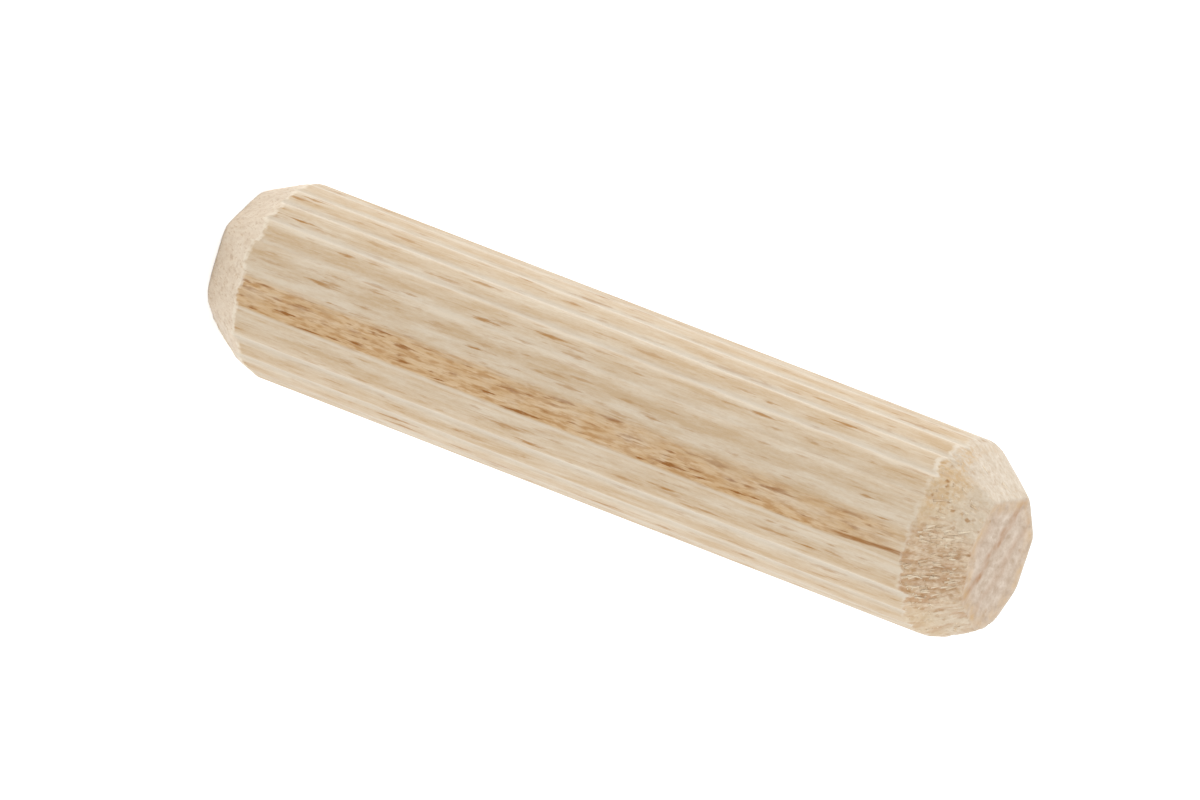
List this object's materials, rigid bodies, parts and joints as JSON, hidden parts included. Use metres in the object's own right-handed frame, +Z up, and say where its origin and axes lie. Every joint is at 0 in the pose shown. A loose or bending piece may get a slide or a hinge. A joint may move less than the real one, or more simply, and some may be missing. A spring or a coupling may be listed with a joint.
{
  "type": "fluted dowel pin",
  "caption": "Short round wooden dowel pin with fine straight grooves along its body and a rough chamfer at each end.",
  "frame": {"origin": "on the surface that the pin stands on, under the middle of its far end face", "axes": "+Z up along the pin's axis, towards the end with the longer chamfer; -Y towards the front, where one groove lies"},
  "size_m": [0.008, 0.008, 0.035],
  "materials": {
    "beech": "raw, dry and matt, with pale whitish grooves and torn grain on the chamfers"
  },
  "bodies": {
    "root": {"dowel_pin": "beech"}
  },
  "joints": []
}
